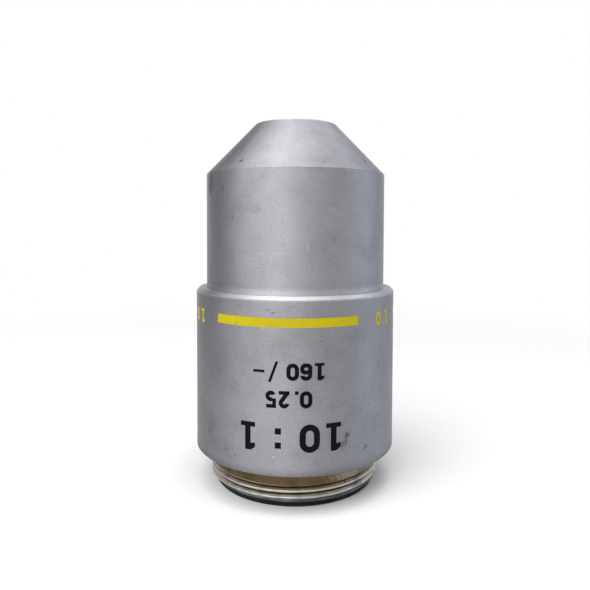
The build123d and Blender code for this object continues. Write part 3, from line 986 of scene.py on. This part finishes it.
# %% Coated glass
clear_glass = (0.97, 0.98, 0.97, 1)
hazy_glass = (0.9, 0.92, 0.93, 1)
dust_grey = (0.6, 0.6, 0.58, 1)
coating_nanometres = 110.0
coating_index = 1.38
crown_index = 1.517
flint_index = 1.62


def coated_glass(name, index):
    material, tree, shader, here = new_finish(name)
    touched = handling_at(tree, here, smudge_size=1.5, speck_size=0.5)
    colour = cover(tree, clear_glass, hazy_glass, touched["Smudges"], 0.3)
    colour = cover(tree, colour, dust_grey, touched["Specks"], 0.5)
    tree.links.new(colour, shader.inputs["Base Color"])
    haze = calc(tree, "MULTIPLY", touched["Smudges"], 0.06)
    tree.links.new(haze, shader.inputs["Roughness"])
    shader.inputs["Transmission Weight"].default_value = 1.0
    shader.inputs["IOR"].default_value = index
    shader.inputs["Thin Film Thickness"].default_value = coating_nanometres
    shader.inputs["Thin Film IOR"].default_value = coating_index
    return material


crown_glass = coated_glass("crown_glass", crown_index)
flint_glass = coated_glass("flint_glass", flint_index)
print("finishes:", crown_glass.name, flint_glass.name)

# %% [markdown]
# The bands and the numbers are enamel rubbed into shallow cuts and wiped level, so the paint lies a
# hair below the metal and has fine scratches. The yellow band is the colour code for a power of
# ten on many makes. The dark enamel is nearly black and quite matt.

# %% Yellow and dark enamel
band_yellow = (0.43, 0.345, 0.007, 1)
faded_yellow = (0.35, 0.29, 0.02, 1)
number_black = (0.003, 0.0027, 0.003, 1)
faded_black = (0.009, 0.009, 0.009, 1)
band_marks = [
    ((-32.1, 20.15), (0.06, 0.36), 28, 0.3, 0.6),
    ((-23.1, 20.25), (0.12, 0.1), 0, 0.5, 0.3),
]


def enamel(name, base, faded, marks, grain_contrast, shine):
    material, tree, shader, here = new_finish(name)
    grain = grain_at(tree, here, size=0.3, contrast=grain_contrast)
    touched = handling_at(tree, here, smudge_size=2.5, speck_size=0.8, scratch_width=0.003)
    colour = scaled(tree, base[:3], grain["Tone"])
    colour = cover(tree, colour, faded, touched["Smudges"], 0.25)
    colour = cover(tree, colour, faded, touched["Scratches"], 0.5)
    for at, size, slant, ragged, strength in marks:
        mask = mark_at(tree, here, at, size, slant, ragged)
        colour = cover(tree, colour, soot_and_shade_black, mask, strength)
    tree.links.new(colour, shader.inputs["Base Color"])
    roughness = calc(tree, "ADD", 0.45, calc(tree, "MULTIPLY", grain["Height"], 0.2))
    tree.links.new(roughness, shader.inputs["Roughness"])
    dents(tree, shader, grain["Height"], 0.004 * mm)
    shader.inputs["Specular IOR Level"].default_value = shine
    return material


yellow_paint = enamel(
    "yellow_paint", band_yellow, faded_yellow, band_marks, grain_contrast=0.25, shine=0.08
)
dark_paint = enamel("dark_paint", number_black, faded_black, [], grain_contrast=0.6, shine=0.05)
print("finishes:", yellow_paint.name, dark_paint.name)

# %% [markdown]
# Every other piece keeps the shape of the solid model, because its form is plain or it is hidden
# inside. The record names a slot for each piece, and the slot says which finish it wears. The two
# glasses share one slot, so the lenses are named one by one.

# %% Dress the model's own pieces
finish_of_slot = {
    "black_metal": black_metal,
    "bare_brass": bare_brass,
    "blackened_brass": blackened_brass,
    "yellow_paint": yellow_paint,
    "dark_paint": dark_paint,
}
glass_of_lens = {
    "front_crown": crown_glass,
    "rear_crown": crown_glass,
    "front_flint": flint_glass,
    "rear_flint": flint_glass,
}
for piece in frame["record"]["subparts"]:
    finish = finish_of_slot.get(piece["material_slot"])
    if finish:
        dress(piece["node"], finish)
for node, glass in glass_of_lens.items():
    dress(node, glass)
print("finishes on the model's own pieces:", len(finish_of_slot) + 2)

# %% [markdown]
# The photograph's background is pure white. Here that white is real: the studio is brightest
# behind the object, fairly bright on the right and dark on the left, and metal and glass reflect
# what the camera sees. One group gives the brightness in each direction, and both the world and
# the far part of the floor use it, so that no horizon shows behind the object.

# %% Group: brightness of the studio in each direction
left_brightness = 0.2
right_brightness = 0.8
side_reach = 0.6
behind_from, behind_full = 0.6, 0.8

studio_white, given, wanted = new_group(
    "studio_white", {"Direction": (0.0, 1.0, 0.0)}, {"Brightness": "Float"}
)
tree = studio_white
ahead = add(tree, "VectorMath", {0: given["Direction"]}, operation="NORMALIZE").outputs[0]
towards = add(tree, "SeparateXYZ", {0: ahead}).outputs
sides = ramp(tree, towards["X"], -side_reach, side_reach, left_brightness, right_brightness)
behind = ramp(tree, towards["Y"], behind_from, behind_full)
white_part = calc(tree, "MULTIPLY", behind, calc(tree, "SUBTRACT", 1.0, sides))
tree.links.new(calc(tree, "ADD", sides, white_part), wanted["Brightness"])
print("studio brightness:", left_brightness, "left,", right_brightness, "right, 1.0 behind")

# %% [markdown]
# The world shows that brightness in full to the camera and in reflections. It lights matt surfaces
# with only a part of it, because the lamps do most of the lighting.

# %% Set the world
ambient = 0.35

world = bpy.data.worlds.new("studio")
bpy.context.scene.world = world
world.use_nodes = True
tree = world.node_tree
background = tree.nodes["Background"].inputs
direction = add(tree, "TexCoord").outputs["Generated"]
brightness = place(tree, studio_white, {"Direction": direction})["Brightness"]
tree.links.new(brightness, background["Color"])
ray = add(tree, "LightPath").outputs
kinds_shown = ["Is Camera Ray", "Is Glossy Ray", "Is Transmission Ray"]
shown = strongest(tree, [ray[kind] for kind in kinds_shown])
tree.links.new(ramp(tree, shown, 0.0, 1.0, ambient, 1.0), background["Strength"])
print("ambient light:", ambient)

# %% [markdown]
# The floor is a plain disc, large enough to reach the horizon, as a sheet of card does on a real
# table when it is photographed from close by. A curved sweep behind the object would also do, but
# a disc looks the same from every side.

# %% Lay the floor
floor_radius = 1.5
floor_mesh = bpy.data.meshes.new("floor")
floor_build = bmesh.new()
bmesh.ops.create_circle(floor_build, cap_ends=True, radius=floor_radius, segments=64)
floor_build.to_mesh(floor_mesh)
floor_build.free()
floor_disc = bpy.data.objects.new("floor", floor_mesh)
bpy.context.scene.collection.objects.link(floor_disc)
print("floor radius:", floor_radius, "m")

# %% [markdown]
# The card is matt and pale, with a trace of fibre. Close to the object it is lit by the lamps and
# takes a soft shadow. Further out it fades into the brightness of the studio, taken from a point a
# little in front of the object, where the camera stands, so that floor and backdrop meet unseen.

# %% Card for the floor
card_grey = (0.76, 0.76, 0.76)
fade_from, fade_full = 45.0, 160.0
towards_the_rear = (0, 0.08, 0)

card_white, tree, shader, here = new_finish("card_white")
fibres = grain_at(tree, here, size=1.5, contrast=0.02)
card = scaled(tree, card_grey, fibres["Tone"])
position = add(tree, "TexCoord").outputs["Object"]
from_the_front = add(tree, "VectorMath", {0: position, 1: towards_the_rear}).outputs[0]
far_light = place(tree, studio_white, {"Direction": from_the_front})["Brightness"]
far = ramp(tree, here["Radius"], fade_from, fade_full)
near_card = scaled(tree, card, calc(tree, "SUBTRACT", 1.0, far))
tree.links.new(near_card, shader.inputs["Base Color"])
tree.links.new(calc(tree, "MULTIPLY", far_light, far), shader.inputs["Emission Color"])
shader.inputs["Emission Strength"].default_value = 1.0
shader.inputs["Roughness"].default_value = 1.0
shader.inputs["Specular IOR Level"].default_value = 0.0
floor_disc.data.materials.append(card_white)
print("finish:", card_white.name)

# %% [markdown]
# Metal shows its surroundings, so a set of large soft lamps draws the bands on the barrel. The
# strongest ones stand to the left of the camera and high in front, and light the cone and the left
# half. A weak, cool one low on the right gives the far edge its pale blue band. Each lamp is given
# as its angle round the object, its angle up from the floor, its power and its colour.

# %% Set the lamps
lamp_distance = 0.3
lamp_size = 0.16
watts = 0.1
neutral = (1, 1, 1)
cool = (0.6, 0.92, 1.4)
lamps = {
    "overhead": (0, 90, 0.83, neutral),
    "high_left": (-100, 72, 1.62, neutral),
    "high_front_left": (-24, 72, 1.63, neutral),
    "high_side_left": (-60, 62, 1.26, neutral),
    "high_front_right": (45, 72, 2.45, neutral),
    "high_back_right": (130, 62, 1.54, neutral),
    "key_upper": (-24, 40, 3.03, neutral),
    "key_lower": (-24, 12, 1.88, neutral),
    "front_lower": (0, 12, 1.23, neutral),
    "left_upper": (-60, 40, 1.96, neutral),
    "left_lower": (-60, 12, 1.55, neutral),
    "far_left": (-95, 40, 1.23, neutral),
    "right_upper": (96, 40, 0.99, neutral),
    "right_lower": (96, 12, 0.67, cool),
}


def softbox(name, azimuth, elevation, power, colour):
    data = bpy.data.lights.new(name, "AREA")
    data.shape = "SQUARE"
    data.size = lamp_size
    data.energy = power * watts
    data.color = colour
    lamp = bpy.data.objects.new(name, data)
    bpy.context.scene.collection.objects.link(lamp)
    turn, rise = radians(azimuth), radians(elevation)
    direction = Vector((sin(turn) * cos(rise), -cos(turn) * cos(rise), sin(rise)))
    lamp.location = direction * lamp_distance + Vector((0, 0, tip_height / 2))
    lamp.rotation_euler = direction.to_track_quat("Z", "Y").to_euler()


for name, settings in lamps.items():
    softbox(name, *settings)
print("lamps:", len(bpy.data.lights))

# %% [markdown]
# The colours are shown as they are, with no filmic curve.

# %% Finish
bpy.context.scene.view_settings.view_transform = "Standard"
